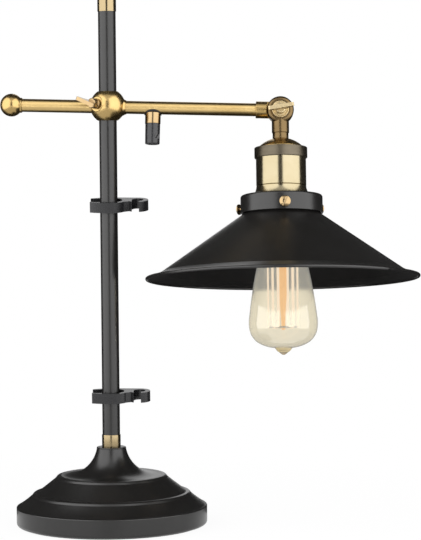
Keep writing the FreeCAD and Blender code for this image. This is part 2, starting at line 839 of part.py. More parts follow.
def fitter_screw_turns():
    return [fitter_screw_turn + 360 / fitter_screw_count * k for k in range(fitter_screw_count)]


def shade_fitter():
    """Black collar clamped under the cup, with a screw hole for each shade screw."""
    end = fitter_top + fitter_length
    inner = fitter_radius - fitter_wall
    body = spun_below([
        (skirt_radius, fitter_top), (fitter_radius, fitter_top, fitter_rounding), (fitter_radius, end, 0.3),
        (inner, end), (inner, fitter_top + fitter_wall, 1.2), (skirt_radius, fitter_top + fitter_wall)])
    hole = rod(fitter_screw_radius, FreeCAD.Vector(0, -inner + 2, -fitter_screw_depth),
               FreeCAD.Vector(0, -fitter_radius - 2, -fitter_screw_depth))
    return body.cut([placed(hole, turned(Z_AXIS, turn)) for turn in fitter_screw_turns()])


def fitter_nut():
    """Threaded ring on the skirt that holds the fitter, with a shallow chamfer."""
    top = fitter_top + fitter_wall
    return spun_below([(skirt_radius, top), (fitter_nut_radius, top),
                       (fitter_nut_radius, top + fitter_nut_height, 1.0),
                       (skirt_radius, top + fitter_nut_height)])


def fitter_screws():
    """Slotted dome-head screws, one solid for each, with their tips on the neck of the shade."""
    tip = shade_neck_radius()
    seat = fitter_radius + fitter_screw_stand_off
    top = seat + fitter_screw_head_height
    screw = spun([(0, tip), (fitter_screw_radius, tip), (fitter_screw_radius, seat),
                  (fitter_screw_head_radius, seat, 0.3), (fitter_screw_head_radius, seat + 1.0),
                  Arc((fitter_screw_head_radius * 0.6, top - 0.3), (0, top))])
    slot = Part.makeBox(3 * fitter_screw_head_radius, 1.0, 2.0,
                        FreeCAD.Vector(-1.5 * fitter_screw_head_radius, -0.5, top - 1.1))
    slot.rotate(ORIGIN, Z_AXIS, 60)
    screw = placed(screw.cut(slot), turned(X_AXIS, 90, FreeCAD.Vector(0, 0, -fitter_screw_depth)))
    return Part.makeCompound([placed(screw, turned(Z_AXIS, turn)) for turn in fitter_screw_turns()])


def shade_neck_radius():
    return fitter_radius - fitter_wall - shade_neck_gap


def shade():
    """Spun cone with a neck inside the fitter and a beaded rim."""
    neck = shade_neck_radius()
    slope = math.atan2(shade_cone_end_radius - neck, shade_cone_end_depth - shade_cone_top)
    across = shade_wall * math.cos(slope)
    along = shade_wall * math.sin(slope)
    flare = (shade_cone_end_radius + shade_rim_radius) / 2 + 0.4
    flare_depth = (shade_cone_end_depth + shade_rim_depth) / 2 + 0.3
    body = spun_below([
        (neck - shade_wall, shade_neck_top), (neck + 0.8, shade_neck_top), (neck + 0.8, shade_neck_top + 1.0),
        (neck, shade_neck_top + 1.8), (neck, shade_cone_top, 2.0),
        (shade_cone_end_radius, shade_cone_end_depth),
        Arc((flare, flare_depth), (shade_rim_radius, shade_rim_depth - 0.4)),
        (shade_rim_radius, shade_rim_depth + 0.5),
        Arc((flare - across, flare_depth + along),
            (shade_cone_end_radius - across, shade_cone_end_depth + along)),
        (neck - shade_wall, shade_cone_top + across, 1.0)])
    bead = Part.makeTorus(shade_rim_radius, shade_bead_radius, FreeCAD.Vector(0, 0, -shade_rim_depth))
    return body.fuse(bead)


# Bulb, below the hinge in the head's frame

def bulb_contact():
    top = bulb_contact_depth
    return spun_below([(0, top), (3.4, top, 0.5), (4.6, top + 1.4), (4.6, top + 1.9), (0, top + 1.9)])


def bulb_insulator():
    top = bulb_contact_depth + 1.9
    end = bulb_contact_depth + bulb_insulator_height
    inner = bulb_cap_radius - 3.2
    return spun_below([(0, top), (4.6, top), (inner, end - 0.8), (inner, end + 1),
                       (0, end + 1)])


def bulb_cap():
    """Thin screw cap with its rounded thread ridges."""
    top = bulb_contact_depth + bulb_insulator_height - 0.8
    turns = 4
    pitch = 3.6
    root = bulb_cap_radius - 0.9
    steps = [(bulb_cap_radius - 3.2, top), (root, top + 2.0)]
    for turn in range(turns):
        start = top + 2.0 + pitch * turn
        steps.append(Arc((bulb_cap_radius, start + pitch / 2), (root, start + pitch)))
    steps += [(root + 0.5, bulb_cap_end), (root - 0.3, bulb_cap_end), (root - 0.3, top + 2.6),
              (bulb_cap_radius - 3.2, top + 1.8)]
    return spun_below(steps)


def glass_points(inset, last):
    """Side of the bulb from the cap's end down to a last point, moved inward by inset."""
    waist = bulb_cap_radius - 1.3
    length = bulb_glass_end - bulb_cap_end
    return [
        (waist - inset, bulb_cap_end),
        (0.57 * bulb_radius - inset, bulb_cap_end + 0.105 * length),
        (0.77 * bulb_radius - inset, bulb_cap_end + 0.33 * length),
        (0.88 * bulb_radius - inset, bulb_cap_end + 0.503 * length),
        (0.965 * bulb_radius - inset, bulb_cap_end + 0.675 * length),
        (bulb_radius - inset, bulb_widest_depth),
        (0.925 * bulb_radius - 0.9 * inset, bulb_glass_end - 11.9 - 0.4 * inset),
        (0.8 * bulb_radius - 0.75 * inset, bulb_glass_end - 7.0 - 0.65 * inset),
        (0.52 * bulb_radius - 0.4 * inset, bulb_glass_end - 2.4 - 0.9 * inset),
        last,
    ]


def glass_curve(inset, last):
    points = [FreeCAD.Vector(radius, 0, -depth) for radius, depth in glass_points(inset, last)]
    curve = Part.BSplineCurve()
    curve.interpolate(points, InitialTangent=FreeCAD.Vector(1, 0, -1), FinalTangent=FreeCAD.Vector(-1, 0, 0))
    return curve.toShape(), points


def bulb_glass():
    """Hollow pear-shaped glass with the sealing pip at its end, turned in one piece."""
    pip = bulb_pip_radius
    outer, outer_points = glass_curve(0, (pip, bulb_glass_end - 0.3))
    inner, inner_points = glass_curve(bulb_glass_wall, (0, bulb_glass_end - bulb_glass_wall))
    tip = FreeCAD.Vector(0, 0, -bulb_tip_depth)
    rise = bulb_tip_depth - bulb_glass_end
    drop = Part.BSplineCurve()
    drop.interpolate([outer_points[-1], tip + FreeCAD.Vector(pip * 0.8, 0, rise * 0.6),
                      tip + FreeCAD.Vector(pip * 0.46, 0, rise * 0.27), tip],
                     InitialTangent=FreeCAD.Vector(0, 0, -1), FinalTangent=FreeCAD.Vector(-1, 0, 0))
    outer_neck, inner_neck = outer_points[0] + Z_AXIS * 3, inner_points[0] + Z_AXIS * 3
    outline = Part.Wire([
        Part.LineSegment(outer_neck, outer_points[0]).toShape(), outer,
        drop.toShape(), Part.LineSegment(tip, inner_points[-1]).toShape(), inner,
        Part.LineSegment(inner_points[0], inner_neck).toShape(),
        Part.LineSegment(inner_neck, outer_neck).toShape()])
    body = Part.Face(outline).revolve(ORIGIN, Z_AXIS, 360)
    return body if body.Volume > 0 else body.reversed()


def bulb_stem():
    """Glass mount: a flared tube from the cap's end that narrows to a rod at the foot of the cage."""
    top = bulb_cap_end - 3
    waist = bulb_cap_radius - 1.3 - bulb_glass_wall
    flare_end = top + bulb_stem_flare
    return spun_below([
        (0, top), (waist, top), (waist, top + 0.8),
        Arc((bulb_stem_radius + 1.6, top + 0.42 * bulb_stem_flare), (bulb_stem_radius, flare_end)),
        (bulb_stem_radius, bulb_stem_end, 2.0), (bulb_rod_radius, bulb_rod_start),
        (bulb_rod_radius, bulb_rod_end, 0.6), (0, bulb_rod_end)])


def cage_bottom():
    return bulb_rod_end - cage_rise


def cage_nodes():
    """Corners of the filament in their order along the wire, two upright strands for each pair."""
    corners = []
    for pair in range(cage_pairs):
        middle = 360 / cage_pairs * (pair + 0.5) - 90
        for side in (-1, 1):
            angle = math.radians(middle + side * cage_pair_half_angle)
            across = FreeCAD.Vector(cage_radius * math.cos(angle), cage_radius * math.sin(angle), 0)
            low, high = across - Z_AXIS * cage_bottom(), across - Z_AXIS * cage_top
            corners += [high, low] if side < 0 else [low, high]
    return corners


def filament():
    """Squirrel-cage filament that runs up and down round the mount, open at one place."""
    corners = cage_nodes()
    strands = [rod(cage_wire, corners[k], corners[k + 1]) for k in range(len(corners) - 1)]
    knees = [Part.makeSphere(cage_wire * 1.3, corner) for corner in corners]
    wire = knees[0]
    for strand, knee in zip(strands, knees[1:]):
        wire = wire.fuse(strand).fuse(knee)
    return wire


def filament_support():
    """Two wire spiders on the mount, with one spoke to the middle of each cross piece of the filament."""
    corners = cage_nodes()
    lower_spokes = []
    upper_spokes = []
    for k in range(len(corners) - 1):
        middle = (corners[k] + corners[k + 1]) / 2
        hub = FreeCAD.Vector(0, 0, middle.z)
        length = (middle - hub).Length
        spoke = rod(spider_radius, hub, hub + (middle - hub) * ((length - cage_wire - 0.05) / length))
        if abs(corners[k].z - corners[k + 1].z) < 1:
            (lower_spokes if k % 4 == 1 else upper_spokes).append(spoke)
    spiders = []
    rings = ((lower_spokes, cage_bottom(), bulb_rod_radius), (upper_spokes, cage_top, bulb_stem_radius))
    for spokes, depth, core in rings:
        hub = rod_z(core + 0.9, -depth - 0.9, -depth + 0.9)
        spiders.append(hub.fuse(spokes).cut(rod_z(core, -depth - 2, -depth + 2)))
    return Part.makeCompound(spiders)


def build_nodes():
    """Every named piece, in the lamp's frame."""
    stand = {
        "base_pad": foot_pad(), "base_shell": foot_shell(), "base_weight": foot_weight(),
        "base_washer": tie_washer(), "base_bolt": tie_bolt(), "pole_plug": pole_plug(),
        "pole_tube": pole_tube(), "pole_ferrule": pole_ferrule(), "pole_cap": pole_cap(),
        "upper_clip": placed(cord_clip(), upper_clip_frame),
        "lower_clip": placed(cord_clip(), lower_clip_frame),
        "clamp_liner": clamp_liner(), "clamp_ball": clamp_ball(),
        "clamp_screw": placed(clamp_screw(), clamp_screw_frame),
        "hinge_screw": placed(hinge_screw(), hinge_screw_frame),
    }
    arm = {
        "counter_rod": counter_rod(), "counter_knob": counter_knob(), "arm_tube": arm_tube(),
        "outlet_saddle": outlet_saddle(), "outlet_collar": outlet_collar(), "outlet_grip": outlet_grip(),
        "outlet_screw": outlet_screw(), "arm_knuckle": arm_knuckle(), "friction_washer": friction_washer(),
    }
    head = {
        "head_knuckle": head_knuckle(), "neck_nipple": neck_nipple(), "neck_nut": neck_nut(),
        "nipple_locknut": nipple_locknut(), "socket_cap": socket_cap(), "socket_ring": socket_ring(),
        "socket_cup": socket_cup(), "socket_insert": socket_insert(), "contact_shell": contact_shell(),
        "contact_tongue": contact_tongue(), "shade_fitter": shade_fitter(), "fitter_nut": fitter_nut(),
        "fitter_screws": fitter_screws(), "shade": shade(),
        "bulb_contact": bulb_contact(), "bulb_insulator": bulb_insulator(), "bulb_cap": bulb_cap(),
        "bulb_glass": bulb_glass(), "bulb_stem": bulb_stem(), "filament": filament(),
        "filament_support": filament_support(),
    }
    nodes = dict(stand)
    for name, shape in arm.items():
        nodes[name] = placed(shape, arm_frame)
    for name, shape in head.items():
        nodes[name] = placed(shape, head_frame)
    return nodes


if __name__ == "__main__":
    os.makedirs("parts", exist_ok=True)
    for name, shape in build_nodes().items():
        shape.exportStep("parts/" + name + ".step")
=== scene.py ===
# %% [markdown]
# # An industrial pipe table lamp
# The lamp was drawn as solid parts in CAD. This lesson dresses those parts in Blender: it sets up the
# camera, makes the turned brass pieces, the glass and the filament again as clean surfaces with numpy,
# gives every piece a material built from nodes, and lights the scene like a product photograph.
# The CAD model comes in as a frame that never moves, so everything here is made in its coordinates:
# +Z up the pole, +X along the arm, and the viewer in front at -Y. Blender's unit is the metre. The
# pieces are worked out in millimetres, as on a drawing, and divided by a thousand at the end.

# %% Load the frame
import bpy
import json
import math
import numpy as np
from mathutils import Euler, Matrix


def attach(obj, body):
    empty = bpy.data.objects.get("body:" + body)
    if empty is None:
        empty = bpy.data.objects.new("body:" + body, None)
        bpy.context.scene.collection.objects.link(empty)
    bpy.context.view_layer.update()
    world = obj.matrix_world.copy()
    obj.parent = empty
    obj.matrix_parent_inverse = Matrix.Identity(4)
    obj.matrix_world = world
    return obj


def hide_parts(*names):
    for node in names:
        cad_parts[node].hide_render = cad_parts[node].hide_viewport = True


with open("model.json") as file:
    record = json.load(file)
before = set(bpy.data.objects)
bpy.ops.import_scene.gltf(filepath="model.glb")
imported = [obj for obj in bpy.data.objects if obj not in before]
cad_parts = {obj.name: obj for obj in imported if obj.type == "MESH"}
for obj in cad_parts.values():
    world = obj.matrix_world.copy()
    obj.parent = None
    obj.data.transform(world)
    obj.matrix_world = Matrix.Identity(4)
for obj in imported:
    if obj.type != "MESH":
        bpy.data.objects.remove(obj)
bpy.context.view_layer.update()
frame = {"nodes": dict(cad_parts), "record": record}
nodes = frame["nodes"]

# %% [markdown]
# ## The camera
# The photograph was taken with a long lens from the height of the shade, so the lamp looks almost flat
# and the foot is seen a little from above. A long lens stands far away. It could be aimed level and
# shifted, but aiming it slightly down keeps the other views simple. The photograph also leans by about
# half a degree, which is a small roll of the camera.

# %% Camera
lens_mm = 139.3
camera_place = (0.0947, -1.958, 0.3235)
camera_dip_degrees = 2.467
camera_lean_radians = -0.0087

camera_data = bpy.data.cameras.new("camera")
camera_data.sensor_width = 36.0
camera_data.lens = lens_mm
camera = bpy.data.objects.new("camera", camera_data)
bpy.context.collection.objects.link(camera)
bpy.context.scene.camera = camera
camera.location = camera_place
camera.rotation_euler = Euler((math.radians(90 - camera_dip_degrees), 0, 0))
camera.rotation_euler.rotate_axis("Z", camera_lean_radians)
print("camera", camera_place, "lens", lens_mm, "mm")

# %% [markdown]
# ## Frames of the pieces
# The arm droops a little and is rolled about its own length, and the head hangs from its hinge. Each
# group has a frame: a 4 by 4 matrix that carries points from the piece's own axes into the world.
# Written with numpy, a whole mesh is placed with one matrix product.

# %% Frames
arm_height, arm_droop, arm_roll = 392.5, 1.6, -7.5
hinge_reach, head_swing = 161.2, -1.75


def turn(axis, degrees):
    """Rotation about one axis by an angle, as a 4 by 4 matrix with the angle's cosine and sine across it."""
    return np.array(Matrix.Rotation(math.radians(degrees), 4, axis))


def move(x=0, y=0, z=0):
    """Shift by x, y, z in millimetres, as a 4 by 4 matrix."""
    return np.array(Matrix.Translation((x, y, z)))


lamp_frame = np.eye(4)
arm_frame = move(z=arm_height) @ turn("Y", arm_droop) @ turn("X", arm_roll)
head_frame = arm_frame @ move(x=hinge_reach) @ turn("Y", head_swing)
along_arm = turn("Y", 90)
print("hinge at", np.round(head_frame[:3, 3], 1), "mm")

# %% [markdown]
# ## Outlines
# Nearly every piece of this lamp was turned on a lathe or spun from sheet, so it starts as a closed
# outline in radius and height. Corners of the real pieces are never sharp. They could be bevelled
# afterwards, but rounding the outline itself puts an even arc at each corner that is asked for.

# %% Outlines
no_length = 1e-12
same_place = 1e-6


def unit(vectors):
    """Each vector divided by its own length. A vector with no length stays as it is."""
    return vectors / np.maximum(np.linalg.norm(vectors, axis=-1, keepdims=True), no_length)


def rounded(corners, steps=6):
    """Outline with rounded corners. A corner with radius r becomes an arc that starts r / tan(half its
    angle) before it; the arc's points swing from the first tangent point to the second about a centre
    on the corner's bisector, r / sin(half angle) away. A corner given without a radius stays sharp."""
    table = np.array([(tuple(corner) + (0.0,))[:3] for corner in corners])
    place, radius = table[:, :2], table[:, 2:]
    before = unit(np.roll(place, 1, axis=0) - place)
    after = unit(np.roll(place, -1, axis=0) - place)
    half = np.arccos(np.clip((before * after).sum(1, keepdims=True), -0.999999, 0.999999)) / 2
    centre = place + unit(before + after) * radius / np.sin(half)
    start = place + before * radius / np.tan(half) - centre
    end = place + after * radius / np.tan(half) - centre
    sweep = (np.pi - 2 * half)[:, None, :]
    t = np.linspace(0, 1, steps)[None, :, None]
    arc = (np.sin((1 - t) * sweep) * start[:, None] + np.sin(t * sweep) * end[:, None]) / np.sin(sweep)
    points = (centre[:, None] + arc).reshape(-1, 2)
    apart = np.linalg.norm(points - np.roll(points, 1, axis=0), axis=1) > same_place
    return points[apart]


def bow(start, middle, end, steps=14):
    """Points of the smooth curve through three outline points, without its last one: the parabola
    whose value is start at 0, middle at one half and end at 1."""
    t = np.linspace(0, 1, steps)[:-1, None]
    first, second, third = (np.array(point, float) for point in (start, middle, end))
    points = first * (1 - t) * (1 - 2 * t) + second * 4 * t * (1 - t) + third * t * (2 * t - 1)
    return [tuple(point) for point in points]


sample = rounded([(0, 0), (10, 0, 2), (10, 5, 1), (0, 5)])
print("an outline of 4 corners, 2 of them rounded, has", len(sample), "points")

# %% [markdown]
# ## Turned surfaces
# One function sweeps an outline round an axis. A Screw modifier would do it too. Worked out as arrays,
# the surface can get its UV map in the same step: round the piece, and along the outline at a true
# scale. The brushed metal needs that map, because the fine scratches of turning run round the axis.

# %% Lathe
uv_length = 100.0
sharp_from_degrees = 38.0


def mesh_object(name, points, faces, uvs, body, replaced):
    """Puts arrays of points (mm), faces and per-corner UVs into a mesh object that rides on a body."""
    mesh = bpy.data.meshes.new(name)
    mesh.from_pydata((points / 1000).tolist(), [], faces)
    layer = mesh.uv_layers.new(name="turning")
    layer.data.foreach_set("uv", np.asarray(uvs, float).ravel())
    mesh.polygons.foreach_set("use_smooth", np.ones(len(mesh.polygons), bool))
    mesh.set_sharp_from_angle(angle=math.radians(sharp_from_degrees))
    mesh.validate()
    piece = bpy.data.objects.new(name, mesh)
    bpy.context.collection.objects.link(piece)
    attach(piece, body)
    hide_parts(*replaced)
    return piece


def lathe(name, outline, place, body, replaced, segments=128, tilt=lamp_frame):
    """Sweeps an outline of (radius, height) round Z: x = r cos a, y = r sin a, z = height, at equal angles a.
    Points on the axis become one point each, so a pole is closed. An outline that runs clockwise is
    turned round first, so the faces look outwards. tilt and place carry the piece into the world."""
    line = np.asarray(outline, float)
    following = np.roll(line, -1, axis=0)
    twice_area = (line[:, 0] * following[:, 1] - following[:, 0] * line[:, 1]).sum()
    if twice_area < 0:
        line = line[::-1]
    rows, on_axis = len(line), line[:, 0] < same_place
    angle = np.linspace(0, 2 * np.pi, segments, endpoint=False)
    grid = np.stack([line[:, :1] * np.cos(angle), line[:, :1] * np.sin(angle),
                     np.repeat(line[:, 1:], segments, axis=1), np.ones((rows, segments))], axis=-1)
    number = np.arange(rows * segments).reshape(rows, segments)
    number[on_axis] = number[on_axis, :1]
    i, j = np.meshgrid(np.arange(rows), np.arange(segments), indexing="ij")
    both_on_axis = on_axis & np.roll(on_axis, -1)
    i, j = i[~both_on_axis].ravel(), j[~both_on_axis].ravel()
    lower, right = (i + 1) % rows, (j + 1) % segments
    quads = np.stack([number[i, j], number[i, right], number[lower, right], number[lower, j]], axis=1)
    stretch = np.linalg.norm(np.roll(line, -1, 0) - line, axis=1)
    run = np.concatenate([[0], np.cumsum(stretch)]) / uv_length
    u = np.stack([j, j + 1, j + 1, j], axis=1) / segments
    v = np.stack([run[i], run[i], run[i + 1], run[i + 1]], axis=1)
    corner_kept = quads != np.roll(quads, 1, axis=1)
    used, renumbered = np.unique(quads, return_inverse=True)
    renumbered = renumbered.reshape(quads.shape)
    faces = [row[kept].tolist() for row, kept in zip(renumbered, corner_kept)]
    points = grid.reshape(-1, 4)[used] @ (place @ tilt).T
    return mesh_object(name, points[:, :3], faces, np.stack([u, v], axis=-1)[corner_kept], body, replaced)


print("one unit of the turning map is", uv_length, "mm of outline")

# %% [markdown]
# ## Shared effects
# Real surfaces vary at two scales: a fine grain that the light catches, and broad stains or fading.
# Both are used by several finishes, so each is a node group with its own inputs. A group gives out
# only values that change over the surface. The shader itself, and any number that is the same all
# over, stays in the material.

# %% Node helpers
def new_group(name, inputs, outputs):
    """Empty shader node group with named float, vector or colour sockets."""
    group = bpy.data.node_groups.new(name, "ShaderNodeTree")
    kinds = {"value": "NodeSocketFloat", "vector": "NodeSocketVector", "colour": "NodeSocketColor"}
    for label, kind, default in inputs:
        socket = group.interface.new_socket(label, in_out="INPUT", socket_type=kinds[kind])
        if default is not None:
            socket.default_value = default
    for label, kind in outputs:
        group.interface.new_socket(label, in_out="OUTPUT", socket_type=kinds[kind])
    return group, group.nodes.new("NodeGroupInput"), group.nodes.new("NodeGroupOutput")


def add(tree, kind, **settings):
    """New node with plain properties set by name, and sockets by the names that aren't properties."""
    node = tree.nodes.new("ShaderNode" + kind)
    for key, value in settings.items():
        if hasattr(node, key):
            setattr(node, key, value)
        else:
            node.inputs[key.replace("_", " ")].default_value = value
    return node


def link(tree, source, target):
    """Joins an output socket to an input socket."""
    tree.links.new(source, target)


def set_sockets(node, values):
    """Sets several sockets of a node by their names."""
    for key, value in values.items():
        node.inputs[key].default_value = value


print("node helpers ready")

# %% [markdown]
# ### Grain
# Powder coating, moulded plastic and cast iron all have a small random texture. Two noises, one four
# times finer than the other, are mixed; the mix is a height for the Bump node, and the coarse one by
# itself is a tone that makes the gloss uneven.

# %% Grain group
fine_to_coarse = 4.0
fine_share = 0.35
grain, grain_in, grain_out = new_group(
    "grain", [("Vector", "vector", None), ("Size", "value", 900.0), ("Fine", "value", fine_share)],
    [("Height", "value"), ("Tone", "value")])
coarse = add(grain, "TexNoise", Detail=2.0, Roughness=0.55)
fine = add(grain, "TexNoise", Detail=1.0, Roughness=0.5)
finer = add(grain, "Math", operation="MULTIPLY")
finer.inputs[1].default_value = fine_to_coarse
both = add(grain, "Mix", data_type="FLOAT")
link(grain, grain_in.outputs["Vector"], coarse.inputs["Vector"])
link(grain, grain_in.outputs["Vector"], fine.inputs["Vector"])
link(grain, grain_in.outputs["Size"], coarse.inputs["Scale"])
link(grain, grain_in.outputs["Size"], finer.inputs[0])
link(grain, finer.outputs[0], fine.inputs["Scale"])
link(grain, grain_in.outputs["Fine"], both.inputs["Factor"])
link(grain, coarse.outputs["Fac"], both.inputs["A"])
link(grain, fine.outputs["Fac"], both.inputs["B"])
link(grain, both.outputs["Result"], grain_out.inputs["Height"])
link(grain, coarse.outputs["Fac"], grain_out.inputs["Tone"])
print("group", grain.name)

# %% [markdown]
# ### Turning lines
# A turned piece carries fine scratches round its axis. On the UV map, round the axis is U and along the
# outline is V, so noise that is stretched along U and tight along V draws exactly those lines. Broader
# bands of the same kind are mixed into the tone.

# %% Turning lines group
line_stretch, band_stretch = (6.0, 60.0, 1.0), (2.0, 12.0, 1.0)
band_share = 0.4
turning, turning_in, turning_out = new_group(
    "turning_lines", [("UV", "vector", None), ("Lines", "value", 60.0)],
    [("Height", "value"), ("Tone", "value")])
narrow = add(turning, "VectorMath", operation="MULTIPLY")
narrow.inputs[1].default_value = line_stretch
wide = add(turning, "VectorMath", operation="MULTIPLY")
wide.inputs[1].default_value = band_stretch
lines = add(turning, "TexNoise", Detail=3.0, Roughness=0.7)
bands = add(turning, "TexNoise", Detail=1.0, Roughness=0.5)
mixed = add(turning, "Mix", data_type="FLOAT")
mixed.inputs["Factor"].default_value = band_share
link(turning, turning_in.outputs["UV"], narrow.inputs[0])
link(turning, turning_in.outputs["UV"], wide.inputs[0])
link(turning, narrow.outputs[0], lines.inputs["Vector"])
link(turning, wide.outputs[0], bands.inputs["Vector"])
link(turning, turning_in.outputs["Lines"], lines.inputs["Scale"])
link(turning, lines.outputs["Fac"], turning_out.inputs["Height"])
link(turning, lines.outputs["Fac"], mixed.inputs["A"])
link(turning, bands.outputs["Fac"], mixed.inputs["B"])
link(turning, mixed.outputs["Result"], turning_out.inputs["Tone"])
print("group", turning.name)

# %% [markdown]
# ### Stain
# Antique brass is browned with a chemical and then brushed back, so the brown stays in patches. The
# group mixes two colours by a large soft noise, with an amount that says how much brown is left.

# %% Stain group
stain, stain_in, stain_out = new_group(
    "stain", [("Vector", "vector", None), ("Light", "colour", (0.8, 0.6, 0.3, 1)),
              ("Dark", "colour", (0.3, 0.2, 0.08, 1)), ("Amount", "value", 0.5), ("Size", "value", 40.0)],
    [("Color", "colour")])
patches = add(stain, "TexNoise", Detail=5.0, Roughness=0.6)
level = add(stain, "MapRange")
set_sockets(level, {"From Min": 0.35, "From Max": 0.75})
scaled = add(stain, "Math", operation="MULTIPLY")
blend = add(stain, "Mix", data_type="RGBA")
link(stain, stain_in.outputs["Vector"], patches.inputs["Vector"])
link(stain, stain_in.outputs["Size"], patches.inputs["Scale"])
link(stain, patches.outputs["Fac"], level.inputs["Value"])
link(stain, level.outputs["Result"], scaled.inputs[0])
link(stain, stain_in.outputs["Amount"], scaled.inputs[1])
link(stain, scaled.outputs[0], blend.inputs["Factor"])
link(stain, stain_in.outputs["Light"], blend.inputs[6])
link(stain, stain_in.outputs["Dark"], blend.inputs[7])
link(stain, blend.outputs[2], stain_out.inputs["Color"])
print("group", stain.name)

# %% [markdown]
# ## Finishes
# Each finish is one material. The patterns read Object coordinates, which are the world's at rest and
# move with the piece, or the turning UVs of the surfaces made here.

# %% Material helpers
finish = {}


def new_material(name):
    """Material with a Principled shader, and its nodes in easy reach."""
    material = bpy.data.materials.new(name)
    material.use_nodes = True
    tree = material.node_tree
    return material, tree, tree.nodes["Principled BSDF"]


def placed_group(tree, group, **values):
    """A node group in a material, with some of its sockets set."""
    node = tree.nodes.new("ShaderNodeGroup")
    node.node_tree = group
    set_sockets(node, values)
    return node


def ranged(tree, source, low, high):
    """A value from low to high that follows a tone from 0.3 to 0.7, where most of a noise's values lie."""
    node = add(tree, "MapRange")
    set_sockets(node, {"From Min": 0.3, "From Max": 0.7, "To Min": low, "To Max": high})
    link(tree, source, node.inputs["Value"])
    return node.outputs["Result"]


def bumped(tree, height, height_mm, strength, shader):
    """Bump on a shader: the height's whole range is worth height_mm, and strength is how much of it shows."""
    node = add(tree, "Bump", Strength=strength, Distance=height_mm / 1000)
    link(tree, height, node.inputs["Height"])
    link(tree, node.outputs["Normal"], shader.inputs["Normal"])


print("material helpers ready")

# %% [markdown]
# ### Coated and moulded finishes
# The pole, foot, shade and fitter are powder coated: nearly black, satin, with a faint orange-peel
# grain. The clips and the cord grip are moulded plastic, which differs only in colour and gloss. Felt,
# iron, porcelain and plain steel differ in the same few numbers, so one function makes them all from
# two near colours, a range of roughness, a grain size and a grain height.

# %% Coat function
coat_stain_size = 30.0


def coat(name, light, dark, rough, size, grain_mm, specular=0.5, strength=0.25, metallic=0.0):
    """Grainy finish: stain chooses between two near colours, grain drives bump and roughness."""
    material, tree, shader = new_material(name)
    place = add(tree, "TexCoord")
    tint = placed_group(tree, stain, Light=(*light, 1), Dark=(*dark, 1), Amount=1.0, Size=coat_stain_size)
    texture = placed_group(tree, grain, Size=size)
    link(tree, place.outputs["Object"], tint.inputs["Vector"])
    link(tree, place.outputs["Object"], texture.inputs["Vector"])
    link(tree, tint.outputs["Color"], shader.inputs["Base Color"])
    link(tree, ranged(tree, texture.outputs["Tone"], *rough), shader.inputs["Roughness"])
    bumped(tree, texture.outputs["Height"], grain_mm, strength, shader)
    set_sockets(shader, {"Specular IOR Level": specular, "Metallic": metallic})
    finish[name] = material


# %% Coats
coat("black_coat", (0.009, 0.0085, 0.008), (0.006, 0.0055, 0.005), (0.28, 0.32), size=700, grain_mm=0.008)
coat("clip_plastic", (0.013, 0.013, 0.014), (0.009, 0.009, 0.010), (0.24, 0.28), size=1100, grain_mm=0.008)
coat("grip_plastic", (0.013, 0.013, 0.015), (0.009, 0.009, 0.010), (0.26, 0.31), size=1200, grain_mm=0.008)
coat("liner_plastic", (0.08, 0.08, 0.08), (0.06, 0.06, 0.06), (0.45, 0.6), size=900, grain_mm=0.03)
coat("cast_iron", (0.10, 0.10, 0.10), (0.05, 0.045, 0.04), (0.6, 0.8), size=350, grain_mm=0.3,
     specular=0.4, strength=0.6, metallic=0.6)
coat("felt", (0.03, 0.03, 0.03), (0.018, 0.018, 0.018), (0.9, 1.0), size=1500, grain_mm=0.2,
     specular=0.1, strength=0.8)
coat("porcelain", (0.80, 0.78, 0.72), (0.72, 0.69, 0.62), (0.35, 0.5), size=600, grain_mm=0.03)
coat("black_glass", (0.012, 0.012, 0.013), (0.008, 0.008, 0.009), (0.1, 0.2), size=800, grain_mm=0.01)
coat("zinc_steel", (0.55, 0.55, 0.54), (0.42, 0.42, 0.40), (0.3, 0.42), size=800, grain_mm=0.03,
     strength=0.2, metallic=1.0)
coat("support_wire", (0.50, 0.47, 0.42), (0.30, 0.27, 0.22), (0.3, 0.4), size=900, grain_mm=0.02,
     strength=0.2, metallic=1.0)
print("coats:", ", ".join(finish))

# %% [markdown]
# ### Brass
# The brass pieces are turned, browned and lacquered. The turning scratches spread a reflection along
# the piece but keep it sharp round it, which is why the photograph shows clean upright bands on the
# lampholder. That is anisotropy: the roughness differs along and across the scratches, and the
# Tangent node tells the shader which way they run. Small polished pieces, and those with no turning
# UVs, use one roughness each way and a faint grain.

# %% Brass function
brass_stain_size, brass_grain_size = 45.0, 1000.0
quarter_turn = 0.25


def brass(name, light, dark, brown, rough, turned=False):
    """Stained metal: colour from stain, gloss and bump from turning lines or from grain."""
    material, tree, shader = new_material(name)
    shader.inputs["Metallic"].default_value = 1.0
    place = add(tree, "TexCoord")
    tint = placed_group(tree, stain, Light=(*light, 1), Dark=(*dark, 1), Amount=brown, Size=brass_stain_size)
    link(tree, place.outputs["Object"], tint.inputs["Vector"])
    link(tree, tint.outputs["Color"], shader.inputs["Base Color"])
    if turned:
        texture = placed_group(tree, turning)
        link(tree, place.outputs["UV"], texture.inputs["UV"])
        tangent = add(tree, "Tangent", direction_type="UV_MAP", uv_map="turning")
        link(tree, tangent.outputs["Tangent"], shader.inputs["Tangent"])
        set_sockets(shader, {"Anisotropic": 0.7, "Anisotropic Rotation": quarter_turn})
        bumped(tree, texture.outputs["Height"], 0.02, 0.15, shader)
    else:
        texture = placed_group(tree, grain, Size=brass_grain_size)
        link(tree, place.outputs["Object"], texture.inputs["Vector"])
        bumped(tree, texture.outputs["Height"], 0.005, 0.1, shader)
    link(tree, ranged(tree, texture.outputs["Tone"], *rough), shader.inputs["Roughness"])
    finish[name] = material


